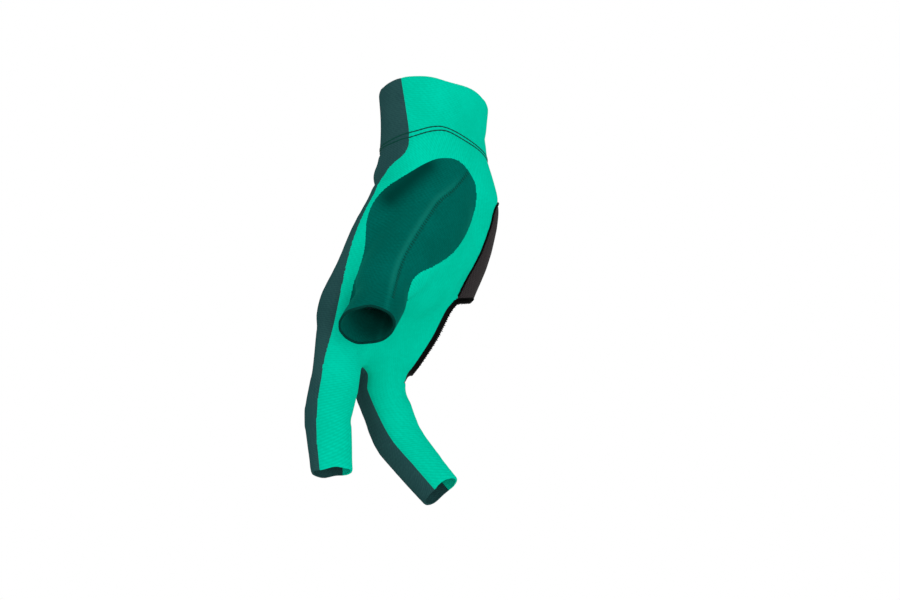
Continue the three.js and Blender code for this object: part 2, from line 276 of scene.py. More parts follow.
@dataclass
class Stall:
    """A tube for one finger, from its root inside the hand to its open end.

    Attributes:
        rows: x, y, z, across and deep of each section.
        turn: The turn of the plane along it that divides its two cloths, in degrees.
        sides: Points round a section.
        tilt: How much further from the end the near side of its cut is, over its radius.
        slant: How much further from the end the palm side of its cut is, over its radius.
        twist: Turn of its sections about the line through them, in degrees.
        fine: The sections, read finely.
    """

    rows: Sequence[Sequence[float]]
    turn: float = 0.0
    sides: int = 40
    tilt: float = 0.0
    slant: float = 0.0
    twist: float = 0.0
    fine: np.ndarray = field(init=False)

    def __post_init__(self) -> None:
        """Reads the sections finely, with one more past the open end to be cut off."""
        fine = smooth_rows(self.rows, 3.0, (0, 1, 2))
        onward = unit(fine[-1, :3] - fine[-2, :3])
        self.fine = np.vstack([fine, np.concatenate([fine[-1, :3] + 8 * onward, fine[-1, 3:]])])

    def rings(self) -> list[np.ndarray]:
        """Gives the rings, each square to the line through the centres."""
        centres = self.fine[:, :3]
        angle = np.arange(self.sides) * 2 * math.pi / self.sides
        cos, sin = math.cos(math.radians(self.twist)), math.sin(math.radians(self.twist))
        rings = []
        for i, row in enumerate(self.fine):
            along = unit(centres[min(i + 1, len(centres) - 1)] - centres[max(i - 1, 0)])
            across = unit(np.cross(along, [0, 1, 0]))
            deep = unit(np.cross(across, along))
            across, deep = across * cos - deep * sin, deep * cos + across * sin
            round_it = np.outer(np.cos(angle) * row[3], across) + np.outer(np.sin(angle) * row[4], deep)
            rings.append(centres[i] + round_it)
        return rings

    def end(self) -> tuple[np.ndarray, np.ndarray]:
        """Gives the centre of the open end and its outward direction."""
        last = np.asarray(self.rows[-1][:3], float)
        return last, unit(self.fine[-1, :3] - last)

    def off_axis(self, at: np.ndarray) -> np.ndarray:
        """Measures how far points are from the line through the stall's end, over its radius."""
        centre, along = self.end()
        off = at - centre
        return np.linalg.norm(off - np.outer(off @ along, along), axis=1) / self.rows[-1][3]

    def past_end(self, at: np.ndarray) -> np.ndarray:
        """Measures how far points are inside the stall's cut end, negative where it is cut off."""
        centre, along = self.end()
        off = at - centre
        height = off @ along
        near = -(off[:, 1] - height * along[1])
        across = off[:, 0] - height * along[0]
        # the cut edge waves a little, as a turned edge on a finger does
        wave = 0.35 * np.sin(across * 0.55 + 0.7) * bell(height, 6)
        radius = self.rows[-1][3]
        near, across = np.clip(near, -radius, radius), np.clip(across, -radius, radius)
        cut = height + wave + self.tilt * near + self.slant * across
        return np.maximum(-cut, (self.off_axis(at) - 1.9) * radius)

    def behind(self, at: np.ndarray) -> np.ndarray:
        """Measures how far points are behind the plane that divides the stall's two cloths."""
        rows = np.asarray(self.rows, float)[::-1]
        x, y = (np.interp(at[:, 2], rows[:, 2], rows[:, k]) for k in (0, 1))
        turn = math.radians(self.turn)
        dx, dy = at[:, 0] - x, at[:, 1] - y
        out = -dx * math.cos(turn) + dy * math.sin(turn)
        along = dx * math.sin(turn) + dy * math.cos(turn)
        low, high = self.rows[-1][2] - 12, self.rows[0][2]
        box = np.maximum.reduce([np.abs(along) - 14, out - 14, at[:, 2] - high, low - at[:, 2]])
        return np.maximum(-out, box)


INDEX = Stall(
    (
        (-40.2, -46.5, -92, 10.6, 10.2),
        (-42, -49.4, -110, 11, 10.6),
        (-43.5, -51, -124, 11.1, 10.5),
        (-45.9, -51.8, -135.5, 11.2, 10.2),
        (-47, -52, -141.5, 10.6, 10),
        (-46.5, -52, -149, 10.5, 9.8),
        (-45, -54.6, -166, 9.5, 9.2),
    ),
    turn=36,
    tilt=0.1,
)
MIDDLE = Stall(
    (
        (-27.6, -31, -100, 10.8, 10.6),
        (-26.8, -30, -115, 11.1, 10.9),
        (-23.8, -29.4, -122.5, 12.9, 11),
        (-24.8, -29.2, -128.7, 10.9, 10.8),
        (-20, -29, -140.4, 11.2, 10.5),
        (-16.8, -29, -149.4, 11.2, 10.3),
        (-12.5, -29.8, -155.8, 10.8, 10),
        (3.4, -35.5, -174.8, 9.5, 9.2),
    ),
    turn=27,
    tilt=0.08,
)
THUMB = Stall(
    (
        (5, -10, -38, 12, 14),
        (2, -24, -47, 17, 17),
        (-4.5, -38, -59, 17.5, 17),
        (-12.6, -50.5, -70.5, 16.1, 15.5),
        (-21.2, -61.5, -81, 13.1, 13),
        (-23.1, -71.5, -89.5, 11.6, 12.2),
        (-26.5, -79, -95.6, 11.8, 11.9),
        (-29.3, -84.5, -100.4, 11.9, 11.4),
    ),
    slant=0.48,
)
THENAR = Stall(
    (
        (11, -14, -50, 9, 14),
        (9, -28, -65, 8, 20),
        (2, -34, -75, 9, 24),
        (-5, -34.4, -85, 9, 26),
        (-10.5, -31, -92.5, 8, 19),
        (-13, -27, -99, 7, 12),
    ),
    twist=24,
)
HAND = HandSleeve()


class Panel(Enum):
    """The pieces of cloth, each named for the node that it stands for."""

    CUFF_FRONT = "cuff_front"
    CUFF_BACK = "cuff_back"
    FRONT = "front_panel"
    BACK = "back_panel"
    THUMB = "thumb_panel"
    THUMB_EDGE = "thumb_binding"
    MESH = "mesh_panel"
    OPEN_EDGE = "open_side_binding"
    OFFCUT = "offcut"


@dataclass
class PanelPlan:
    """Where the panels meet, as distances that are zero on each border.

    Attributes:
        seam_row: The hand section that the cuff's seam lies in.
        binding: Width of the black binding round the open side.
        thumb_binding: Width of the dark edge round the thumb hole.
        thumb_mouth: Length of the stall above the hole that is all of the thumb panel's cloth.
        thumb_outer: Length of its outer side that is, up to the given x.
        thumb_radius: Half the stall's width.
        thumb_back: Depth, height and lean of the plane behind the thumb panel.
        stall_split: Depth between the index and middle stalls at their roots.
        stall_gap: The x between them further down.
        back_end: Height where the back panel's hidden border stops.
        middle_top: Height up to which the middle stall's border reaches.
        mesh_foot: Height of the mesh panel's foot.
        open_foot: Height of the open side's foot.
        taper: The heights between which the binding widens from nothing.
        loop_taper: Those between which its loops of thread do.
        painted_shade_line: The ends of the line in the front view along which painted shade darkens the thumb
            panel.
        rim_row: The wrist opening's (x, z) places in the front view.
        upper_row: Those of the cuff's upper row of stitches.
        lower_row: Those of its lower row, which lies along the seam.
        back_border: The line where the back panel's dark cloth begins, down to the index stall.
        middle_border: The same on the middle stall.
        mesh_border: The edge of the mesh panel.
        open_line: The edge of the open side.
        thumb_outline: The outline of the thumb panel.
        thumb_ridge: The line of its ridge.
    """

    seam_row: int = 2
    binding: float = 2.6
    thumb_binding: float = 0.9
    thumb_mouth: float = 9.0
    thumb_outer: tuple[float, float] = (20.0, -24.0)
    thumb_radius: float = 12.0
    thumb_back: tuple[float, float, float] = (4.0, -25.0, 50.0)
    stall_split: float = -40.6
    stall_gap: float = -33.0
    back_end: float = -140.0
    middle_top: float = -108.0
    mesh_foot: float = -104.0
    open_foot: float = -126.4
    taper: tuple[float, float] = (-127.5, -121.0)
    loop_taper: tuple[float, float] = (-125.5, -119.0)
    painted_shade_line: Sequence[tuple[float, float]] = ((-3, -29), (-19, -43))
    rim_row: Sequence[tuple[float, float]] = (
        (-25.2, 0.9), (-24.3, 4.5), (-20.7, 8.2), (-14.5, 11.1), (-7.5, 12), (-0.4, 11.7), (7.1, 9.6),
        (16.4, 7.3), (21.2, 4.2), (23.9, 0.3), (25, -3.4),
    )
    upper_row: Sequence[tuple[float, float]] = (
        (-23.5, -19.9), (-18.6, -17.3), (-13.4, -14.8), (-7.5, -13.2), (-3, -11.8), (1.5, -11.1),
        (5.2, -11.3), (9.7, -12.8), (14.6, -15.4), (19.4, -18.5), (23.1, -21.6), (25.4, -25.2),
    )
    lower_row: Sequence[tuple[float, float]] = (
        (-23.5, -21.2), (-17.1, -18.7), (-13.4, -17.1), (-10.4, -16.5), (-5.9, -15), (-1.5, -13.7),
        (3.4, -13.1), (7.1, -13.6), (10.8, -15.3), (16.4, -18.5), (20.9, -21.3), (23.9, -24.3),
        (25.6, -27.2),
    )
    back_border: FrontLine = front_line(
        (-15.2, 22), (-14.4, 10.8), (-12.4, -2), (-10.8, -14.5), (-12.2, -22.5), (-20.6, -31),
        (-29, -46), (-36.9, -66.2), (-44, -99), (-49.1, -119), (-51.8, -141.5), (-50.9, -166.5),
        (-50, -178),
    )
    middle_border: FrontLine = front_line(
        (-38.5, -108), (-32, -123.4), (-25.7, -138.2), (-18.5, -151.7), (-8.1, -163.8), (0.5, -173.7),
        (6, -180),
    )
    mesh_border: FrontLine = front_line(
        (3, -104), (9, -92), (14.9, -80.1), (21.2, -68.4), (25.7, -56.3), (28.6, -46.5), (36, -40.5),
    )
    open_line: FrontLine = front_line(
        (-12.8, -126.4), (-7.6, -121.5), (1.4, -108), (9.6, -93), (16.7, -90.6), (44, -90),
    )
    thumb_outline: FrontLine = front_line(
        (4.2, -25.4), (11.9, -26.8), (18.4, -35), (19.5, -42.3), (18.4, -50), (14.5, -60.3),
        (8.5, -68.5), (0.5, -74), (-5.3, -76.9), (-8.7, -79.9), (-10.3, -84), (-11.2, -88.5),
        (-10.6, -96), (-14, -109), (-30, -115), (-46, -107), (-42.6, -102), (-40.2, -97.4),
        (-38, -93.3), (-37.2, -90), (-36.2, -85.5), (-34.9, -80.5), (-33, -75.6), (-30.5, -66),
        (-29.4, -52.6), (-25.7, -44), (-19.9, -38), (-10.4, -31.9), (-2.5, -27.4),
        closed=True,
    )
    thumb_ridge: FrontLine = front_line(
        (15.4, -32), (9.5, -39.5), (2.9, -45), (-1.8, -51.8), (-5.3, -57.3), (-8.7, -63),
        (-12.2, -69.4), (-14.4, -75), (-16.2, -81.5), (-18, -90),
    )

    @staticmethod
    def row_height(at: np.ndarray, row: Sequence[tuple[float, float]], section: int) -> np.ndarray:
        """Gives the height of a row of stitches, or of the rim, over each point.

        It lies in its section's plane behind, and bends to the line that it shows in front.

        Args:
            at: Points in millimetres.
            row: The row's (x, z) places in the front view.
            section: The hand section that it lies in.

        Returns:
            The heights.
        """
        level = np.asarray(HAND.rows[section], float)
        centre, turned = HAND.axes(level)
        up = turned[:, 2]
        ring = HAND.ring(level)
        left, right = ring[ring[:, 0].argmin()], ring[ring[:, 0].argmax()]
        chord = np.interp(ring[:, 0], [left[0], right[0]], [left[1], right[1]])
        front = ring[ring[:, 1] <= chord + 1e-6]
        front = front[front[:, 0].argsort()]
        shown = smooth_rows(row, 1.0, (0, 1))
        x = np.clip(at[:, 0], left[0] + 2.5, right[0] - 2.5)
        bend = np.interp(x, shown[:, 0], shown[:, 1]) - np.interp(x, front[:, 0], front[:, 2])
        plane = centre[2] - ((at[:, 0] - centre[0]) * up[0] + (at[:, 1] - centre[1]) * up[1]) / up[2]
        behind = at[:, 1] - np.interp(at[:, 0], [left[0], right[0]], [left[1], right[1]])
        return plane + bend * ramp(-behind, -20, -2)

    def seam(self, at: np.ndarray) -> np.ndarray:
        """Negative in the cuff."""
        return self.row_height(at, self.lower_row, self.seam_row) - at[:, 2]

    def rim(self, at: np.ndarray) -> np.ndarray:
        """Negative above the wrist opening."""
        return self.row_height(at, self.rim_row, 0) - at[:, 2]

    def back(self, at: np.ndarray) -> np.ndarray:
        """Negative in the back panel's cloth."""
        hand = np.maximum(HAND.back_shift - HAND.behind(at), self.back_end - at[:, 2])
        # the two stalls are told apart by depth at their roots, and by x further down
        low = ramp(-at[:, 2], 126, 138)
        apart = (1 - low) * (self.stall_split - at[:, 1]) + low * (self.stall_gap - at[:, 0])
        middle = np.maximum.reduce([self.middle_border.distance(at), apart, at[:, 2] - self.middle_top])
        stalls = np.minimum(INDEX.behind(at), MIDDLE.behind(at))
        return np.minimum.reduce([self.back_border.distance(at), middle, hand, stalls])

    def thumb(self, at: np.ndarray) -> np.ndarray:
        """Negative in the thumb panel."""
        y, z, lean = self.thumb_back
        near = (at[:, 1] - y) * math.sin(math.radians(lean)) - (at[:, 2] - z) * math.cos(math.radians(lean))
        # the panel reaches further back high up and on the outer side, and less far low down
        near += 4.5 * ramp(-at[:, 2], 84, 94) - 10 * ramp(at[:, 2], -87, -79)
        near -= 14 * ramp(-at[:, 0], 16, 22) * ramp(at[:, 2], -99, -94)
        panel = np.maximum.reduce([self.thumb_outline.distance(at), near, HAND.behind(at) - HAND.back_shift])
        inside, off_axis = THUMB.past_end(at), THUMB.off_axis(at)
        mouth = np.maximum(inside - self.thumb_mouth, (off_axis - 1.15) * self.thumb_radius)
        length, side = self.thumb_outer
        outer = np.maximum.reduce([inside - length, (off_axis - 1.35) * self.thumb_radius, at[:, 0] - side])
        return np.minimum.reduce([panel, mouth, outer])

    def mesh(self, at: np.ndarray) -> np.ndarray:
        """Negative in the mesh panel."""
        return np.maximum(self.mesh_border.distance(at), self.mesh_foot - at[:, 2])

    def open_side(self, at: np.ndarray) -> np.ndarray:
        """Negative where the side is open."""
        return np.maximum(self.open_line.distance(at), self.open_foot - at[:, 2])

    def bound_side(self, at: np.ndarray) -> np.ndarray:
        """Negative inside the binding and past it, where it tapers to the crotch."""
        return self.open_side(at) - self.binding * ramp(at[:, 2], *self.taper)

    def thumb_seam(self, at: np.ndarray) -> np.ndarray:
        """Zero along the seam over the thumb, on the near side of the tube only."""
        rows = np.asarray(THUMB.rows, float)[::-1]
        depth = np.interp(at[:, 2], rows[:, 2], rows[:, 1])
        return np.where(at[:, 1] < depth, self.thumb_ridge.distance(at), 1e3)

    def painted_shade(self, at: np.ndarray) -> np.ndarray:
        """Gives the amount of painted shade on the thumb panel: most along a line at its upper left, more
        towards its bottom, and below 0, for a painted highlight, along its ridge.
        """
        xz = at[:, [0, 2]]
        start, end = np.array(self.painted_shade_line)
        t = np.clip((xz - start) @ (end - start) / ((end - start) @ (end - start)), 0, 1)
        away = np.linalg.norm(xz - start - t[:, None] * (end - start), axis=1)
        # a painted highlight along the lit side of the ridge, where the amount goes below 0
        ridge = bell(self.thumb_ridge.distance(at) + 1.8, 1.3) * ramp(-at[:, 2], 30, 44)
        return bell(away, 5.5) + 0.3 * ramp(-at[:, 2], 78, 92) - 0.4 * ridge

    def thumb_edge(self, at: np.ndarray) -> np.ndarray:
        """Negative in the dark edge round the thumb hole and past it."""
        return THUMB.past_end(at) - self.thumb_binding

    def sort(self, at: np.ndarray) -> np.ndarray:
        """Says which panel each point is in.

        Args:
            at: Middles of faces, in millimetres.

        Returns:
            The place of the panel in Panel, for each point.
        """
        order = list(Panel)
        sorted_to = np.full(len(at), order.index(Panel.FRONT))
        sorted_to[self.back(at) < 0] = order.index(Panel.BACK)
        sorted_to[self.mesh(at) < 0] = order.index(Panel.MESH)
        thumb = self.thumb(at) < 0
        sorted_to[thumb] = order.index(Panel.THUMB)
        sorted_to[thumb & (self.thumb_edge(at) < 0)] = order.index(Panel.THUMB_EDGE)
        cuff = self.seam(at) < 0
        back = self.back(at) < 0
        sorted_to[cuff & ~back] = order.index(Panel.CUFF_FRONT)
        sorted_to[cuff & back] = order.index(Panel.CUFF_BACK)
        sorted_to[self.bound_side(at) < 0] = order.index(Panel.OPEN_EDGE)
        for cut in (self.open_side, self.rim, INDEX.past_end, MIDDLE.past_end, THUMB.past_end):
            sorted_to[cut(at) < 0] = order.index(Panel.OFFCUT)
        return sorted_to


@dataclass
class GloveSkin:
    """The outer face of the whole glove, one smooth surface, cut along every border.

    Attributes:
        plan: The borders.
        voxel: Size of the remesh that joins the sleeve and the stalls.
        rounds: Rounds of smoothing that keep the volume.
        levels: Subdivisions of the smoothed skin.
    """

    plan: PanelPlan
    voxel: float = 2.6
    rounds: int = 14
    levels: int = 2

    def solid(self) -> bpy.types.Mesh:
        """Makes the sleeve and the stalls as closed skins and joins them by a voxel remesh."""
        bm = bmesh.new()
        for rings in (HAND.rings(), INDEX.rings(), MIDDLE.rings(), THUMB.rings(), THENAR.rings()):
            loops = []
            for ring in rings:
                made = bmesh.ops.create_circle(bm, segments=len(ring), radius=1.0)
                for vert, point in zip(made["verts"], ring):
                    vert.co = point * MM
                loops.append(list({edge for vert in made["verts"] for edge in vert.link_edges}))
            for one, other in zip(loops[:-1], loops[1:]):
                bmesh.ops.bridge_loops(bm, edges=[*one, *other])
            bmesh.ops.holes_fill(bm, edges=[*loops[0], *loops[-1]], sides=0)
        bmesh.ops.recalc_face_normals(bm, faces=bm.faces)
        holder = add_object("skin", mesh_of(bm, "skin"))
        remesh = holder.modifiers.new("join", "REMESH")
        remesh.mode = "VOXEL"
        remesh.voxel_size = self.voxel * MM
        joined = self.baked(holder)
        self.smooth(joined)
        holder.modifiers.clear()
        holder.data = joined
        finer = holder.modifiers.new("finer", "SUBSURF")
        finer.levels = finer.render_levels = self.levels
        skin = self.baked(holder)
        bpy.data.objects.remove(holder)
        return skin

    @staticmethod
    def baked(obj: bpy.types.Object) -> bpy.types.Mesh:
        """Gives the object's mesh with its modifiers applied."""
        graph = bpy.context.evaluated_depsgraph_get()
        return bpy.data.meshes.new_from_object(obj.evaluated_get(graph))

    def smooth(self, mesh: bpy.types.Mesh) -> None:
        """Smooths the joined skin without shrinking it."""
        points = read_points(mesh)
        a, b = read_all(mesh.edges, "vertices", 2, int).T
        count = np.bincount(np.concatenate([a, b]), minlength=len(points))[:, None]
        for step in range(2 * self.rounds):
            total = np.zeros_like(points)
            for k in range(3):
                for here, there in ((a, b), (b, a)):
                    total[:, k] += np.bincount(here, points[there, k], len(points))
            # a step in and a slightly longer one out, so that the form keeps its volume
            points += (0.52 if step % 2 == 0 else -0.54) * (total / count - points)
        write_points(mesh, points)

    def cut(self, mesh: bpy.types.Mesh) -> bmesh.types.BMesh:
        """Cuts the skin along every border.

        Args:
            mesh: The smooth skin.

        Returns:
            The cut skin, in which no face crosses a border.
        """
        plan = self.plan
        bm = bmesh.new()
        bm.from_mesh(mesh)
        ends = (plan.rim, plan.open_side, INDEX.past_end, MIDDLE.past_end, THUMB.past_end)
        for border in ends:
            cut_along(bm, border)
            middles = np.array([face.calc_center_median() for face in bm.faces]) / MM
            gone = border(middles) < 0
            bmesh.ops.delete(bm, geom=[face for face, off in zip(bm.faces, gone) if off], context="FACES")
        borders = (plan.seam, plan.back, plan.thumb, plan.mesh, plan.bound_side, plan.thumb_edge)
        for border in (*borders, plan.thumb_ridge.distance):
            cut_along(bm, border)
        return bm


def read_all(items: bpy.types.bpy_prop_collection, name: str, width: int, kind: type = float) -> np.ndarray:
    """Reads one property of all of a mesh's items.

    Args:
        items: The vertices, edges, loops or the like.
        name: The property.
        width: Numbers that each item has.
        kind: Type of the numbers.

    Returns:
        The numbers, one row each.
    """
    flat = np.empty(len(items) * width, kind)
    items.foreach_get(name, flat)
    return flat.reshape(-1, width)


def read_points(mesh: bpy.types.Mesh) -> np.ndarray:
    """Reads a mesh's points in millimetres."""
    return read_all(mesh.vertices, "co", 3) / MM


def write_points(mesh: bpy.types.Mesh, points: np.ndarray) -> None:
    """Writes a mesh's points, given in millimetres."""
    mesh.vertices.foreach_set("co", (points * MM).ravel())
    mesh.update()


def cut_along(bm: bmesh.types.BMesh, border: Field, snap: float = 0.14) -> None:
    """Cuts a mesh where a border's distance is zero.

    Args:
        bm: The mesh.
        border: The distance from the border at points in millimetres.
        snap: A vertex nearer than this share of its edge moves onto the border.
    """
    bm.verts.index_update()
    bm.verts.ensure_lookup_table()
    bm.edges.ensure_lookup_table()
    still = bpy.data.meshes.new("still")
    bm.to_mesh(still)
    points = read_points(still)
    edges = read_all(still.edges, "vertices", 2, int)
    bpy.data.meshes.remove(still)
    values = border(points)
    values[np.abs(values) < 1e-4] = 0
    a, b = values[edges[:, 0]], values[edges[:, 1]]
    crossing = np.flatnonzero(a * b < 0)
    share = a[crossing] / (a[crossing] - b[crossing])
    on_border = set(np.flatnonzero(values == 0).tolist())
    for end, chosen in ((0, share < snap), (1, share > 1 - snap)):
        for i, t in zip(crossing[chosen], share[chosen]):
            k = int(edges[i, end])
            if k not in on_border:
                one, other = points[edges[i, 0]], points[edges[i, 1]]
                bm.verts[k].co = (one + (other - one) * t) * MM
                on_border.add(k)
    fresh = []
    held = {bm.verts[k] for k in on_border}
    for i, t in zip(crossing, share):
        edge = bm.edges[int(i)]
        start = bm.verts[int(edges[i, 0])]
        if start in held or edge.other_vert(start) in held:
            continue
        fresh.append((edge, start, float(t)))
    made = [bmesh.utils.edge_split(edge, start, t)[1] for edge, start, t in fresh]
    bmesh.ops.connect_verts(bm, verts=[*held, *made])
    bm.faces.ensure_lookup_table()


@dataclass
class Relief:
    """The small shapes of the sewn skin: seams that pull in, the thumb's ridge and soft folds.

    Attributes:
        plan: The borders.
        seam_depth: How deep a panel seam sinks.
        seam_width: Half width of a seam's dip.
        ridge_height: Height of the ridge over the thumb panel's seam.
        ridge_width: Half width of that ridge.
        edge_depth: How far a cut edge rolls in.
        edge_width: Half width of the roll.
        drape_depth: How uneven the stretched cloth is.
        drape_pace: How fast that changes, for each millimetre.
    """

    plan: PanelPlan
    seam_depth: float = 0.26
    seam_width: float = 1.15
    ridge_height: float = 0.7
    ridge_width: float = 1.1
    edge_depth: float = 0.25
    edge_width: float = 0.5
    drape_depth: float = 0.3
    drape_pace: float = 0.045

    def heights(self, at: np.ndarray) -> np.ndarray:
        """Gives how far each point moves out along its normal, in millimetres."""
        plan = self.plan
        back, thumb, mesh, seam = plan.back(at), plan.thumb(at), plan.mesh(at), plan.seam(at)
        out = np.zeros(len(at))
        body = thumb > 0
        for border, where in ((back, body), (thumb, seam > -1), (mesh, body), (seam, True)):
            out -= self.seam_depth * bell(border, self.seam_width) * where
        ends = [plan.rim(at), INDEX.past_end(at), MIDDLE.past_end(at), THUMB.past_end(at), plan.open_side(at)]
        for end in ends:
            out -= self.edge_depth * bell(end, self.edge_width)
        ridge = plan.thumb_ridge.distance(at) + 1.3
        fade = ramp(at[:, 2], -90, -84) * ramp(-at[:, 2], 33, 38)
        out += self.ridge_height * bell(ridge, self.ridge_width) * (thumb < -1) * fade
        return out + (self.folds(at, seam) + self.drape(at))

    @staticmethod
    def folds(at: np.ndarray, seam: np.ndarray) -> np.ndarray:
        """Gives the two small folds at the wrist's outer edge, just under the cuff's seam."""
        left = ramp(-at[:, 0], 12, 22)
        fold = 0.8 * bell(seam - 12, 3.8) - 0.9 * bell(seam - 17.8, 2.2) - 0.55 * bell(seam - 1.8, 1.2)
        right = ramp(at[:, 0], 16, 24) * -0.5 * bell(seam + 13.5, 3.5)
        return left * fold + right

    def drape(self, at: np.ndarray) -> np.ndarray:
        """Gives the slow unevenness of stretched cloth."""
        return self.drape_depth * np.array([noise.noise(Vector(p) * self.drape_pace) for p in at])

    def press(self, bm: bmesh.types.BMesh) -> None:
        """Moves the skin's points by the relief."""
        bm.normal_update()
        still = bpy.data.meshes.new("still")
        bm.to_mesh(still)
        points = read_points(still)
        normals = read_all(still.vertices, "normal", 3)
        write_points(still, points + normals * self.heights(points)[:, None])
        bm.clear()
        bm.from_mesh(still)
        bpy.data.meshes.remove(still)


def add_node(tree: bpy.types.NodeTree, kind: str, links: dict | None = None, **settings) -> bpy.types.Node:
    """Adds a shader node.

    Args:
        tree: The material's nodes.
        kind: The node's type.
        links: Socket to link from for each input, by name or number.
        settings: Node properties, and inputs: by number as i0, or by name with underscores for spaces.

    Returns:
        The new node.
    """
    node = tree.nodes.new(kind)
    for name, value in settings.items():
        if hasattr(node, name):
            setattr(node, name, value)
        elif name[0] == "i" and name[1:].isdigit():
            node.inputs[int(name[1:])].default_value = value
        else:
            node.inputs[name.replace("_", " ")].default_value = value
    for name, source in (links or {}).items():
        tree.links.new(source, node.inputs[name])
    return node


def start_material(name: str) -> tuple[bpy.types.Material, bpy.types.NodeTree, bpy.types.Node]:
    """Makes a material, and gives its nodes and its main shader with it."""
    made = bpy.data.materials.new(name)
    made.use_nodes = True
    return made, made.node_tree, made.node_tree.nodes["Principled BSDF"]


def join_up(
    shader: bpy.types.Node, bump: bpy.types.Node, colour: bpy.types.Node | None = None, **looks
) -> None:
    """Links a bump and a colour to a material's main shader, and sets its other inputs.

    Args:
        shader: The main shader.
        bump: The bump.
        colour: The mix that gives the colour, or nothing.
        looks: The shader's inputs, by name with underscores for spaces.
    """
    tree = shader.id_data
    tree.links.new(bump.outputs[0], shader.inputs["Normal"])
    if colour:
        tree.links.new(colour.outputs[2], shader.inputs["Base Color"])
    for name, value in looks.items():
        shader.inputs[name.replace("_", " ")].default_value = value


def lay_pattern(tree: bpy.types.NodeTree, step: float, angle: float) -> bpy.types.NodeSocket:
    """Reads the cloth's own map, turned, and scaled so that a step of the pattern is one unit.

    Args:
        tree: The material's nodes.
        step: Length of a step in millimetres. The map is in metres.
        angle: Turn of the pattern, in degrees.

    Returns:
        The place on the pattern.
    """
    cloth = add_node(tree, "ShaderNodeTexCoord")
    settings = {"Rotation": (0, 0, math.radians(angle)), "Scale": [1000 / step] * 3}
    return add_node(tree, "ShaderNodeMapping", {"Vector": cloth.outputs["UV"]}, **settings).outputs[0]


def vary(
    tree: bpy.types.NodeTree, spread: tuple[float, float], amount: float, **settings: float
) -> bpy.types.NodeSocket:
    """Reads an unevenness of the cloth, from -amount to amount.

    Args:
        tree: The material's nodes.
        spread: The noise's readings that give -amount and amount.
        amount: How uneven it is.
        settings: The noise's inputs.

    Returns:
        The unevenness.
    """
    cloth = add_node(tree, "ShaderNodeTexCoord")
    raw = add_node(tree, "ShaderNodeTexNoise", {"Vector": cloth.outputs["Object"]}, **settings)
    ends = {"From_Min": spread[0], "From_Max": spread[1], "To_Min": -amount, "To_Max": amount}
    return add_node(tree, "ShaderNodeMapRange", {"Value": raw.outputs["Fac"]}, **ends).outputs[0]


@dataclass(frozen=True)
class StretchKnit:
    """Nylon and elastane warp knit, heat-set and smooth: flat satin colour with fine slanting rows.

    Attributes:
        name: The material's name.
        colour: Colour of the cloth.
        low: Colour between the rows.
        row: Distance between rows in millimetres. A real one is near 0.4; drawn coarser, to show.
        slant: Slant of the rows, in degrees.
        fibre: Colour of the fibres' sheen.
        satin: Its strength.
        roughness: Roughness of the surface.
        patches: How much the colour changes slowly over the cloth.
        relief: Strength of the knit's bump.
        flecks: How much single loops differ in tone.
        painted_shade: Colour of the painted shade, deeper than the cloth, or nothing.
        painted_highlight: Colour of the painted highlight, paler than the cloth.
    """

    name: str
    colour: str
    low: str
    row: float = 0.9
    slant: float = 20.0
    fibre: str = "#2CB79B"
    satin: float = 0.1
    roughness: float = 0.6
    patches: float = 0.35
    relief: float = 0.2
    flecks: float = 0.2
    painted_shade: str | None = None
    painted_highlight: str | None = None

    def material(self) -> bpy.types.Material:
        """Makes the material."""
        made, tree, shader = start_material(self.name)
        place = lay_pattern(tree, self.row, self.slant)
        bands = {"wave_type": "BANDS", "bands_direction": "Y", "Scale": 0.314, "Distortion": 0.6}
        rows = add_node(tree, "ShaderNodeTexWave", {"Vector": place}, **bands, Detail=1.0, Detail_Scale=0.4)
        bands = {"wave_type": "BANDS", "bands_direction": "DIAGONAL", "Scale": 0.23, "Distortion": 0.4}
        loops = add_node(tree, "ShaderNodeTexWave", {"Vector": place}, **bands)
        both = {2: rows.outputs["Fac"], 3: loops.outputs["Fac"]}
        knit = add_node(tree, "ShaderNodeMix", both, data_type="FLOAT", i0=0.3)
        slow = vary(tree, (0.35, 0.65), self.patches, Scale=38.0, Detail=4.0, Roughness=0.55)
        small = vary(tree, (0.3, 0.7), self.flecks, Scale=700 / self.row, Detail=1.0)
        uneven = add_node(tree, "ShaderNodeMath", {0: small, 1: slow}, operation="ADD")
        level = add_node(tree, "ShaderNodeMath", {0: knit.outputs[0], 1: uneven.outputs[0]}, operation="ADD")
        ends = {"i6": linear(self.low), "i7": linear(self.colour)}
        colour = add_node(tree, "ShaderNodeMix", {0: level.outputs[0]}, data_type="RGBA", **ends)
        depth = {"Strength": self.relief, "Distance": 0.0001}
        bump = add_node(tree, "ShaderNodeBump", {"Height": knit.outputs[0]}, **depth)
        # Painted shade and painted highlight: the colour is mixed towards a deeper tone and a paler tone by
        # the attribute's amount.
        if self.painted_shade:
            painted_shade_amount = add_node(tree, "ShaderNodeAttribute", attribute_name=PAINTED_LIGHT_ATTRIBUTE).outputs["Fac"]
            painted_highlight_amount = add_node(tree, "ShaderNodeMath", {0: painted_shade_amount}, operation="MULTIPLY", i1=-1.0).outputs[0]
            for amount, tone in ((painted_shade_amount, self.painted_shade), (painted_highlight_amount, self.painted_highlight)):
                under = {0: amount, 6: colour.outputs[2]}
                colour = add_node(tree, "ShaderNodeMix", under, data_type="RGBA", i7=linear(tone))
        sheen = {"Sheen_Weight": self.satin, "Sheen_Roughness": 0.4, "Sheen_Tint": linear(self.fibre)}
        join_up(shader, bump, colour, Roughness=self.roughness, Specular_IOR_Level=0.0, **sheen)
        return made


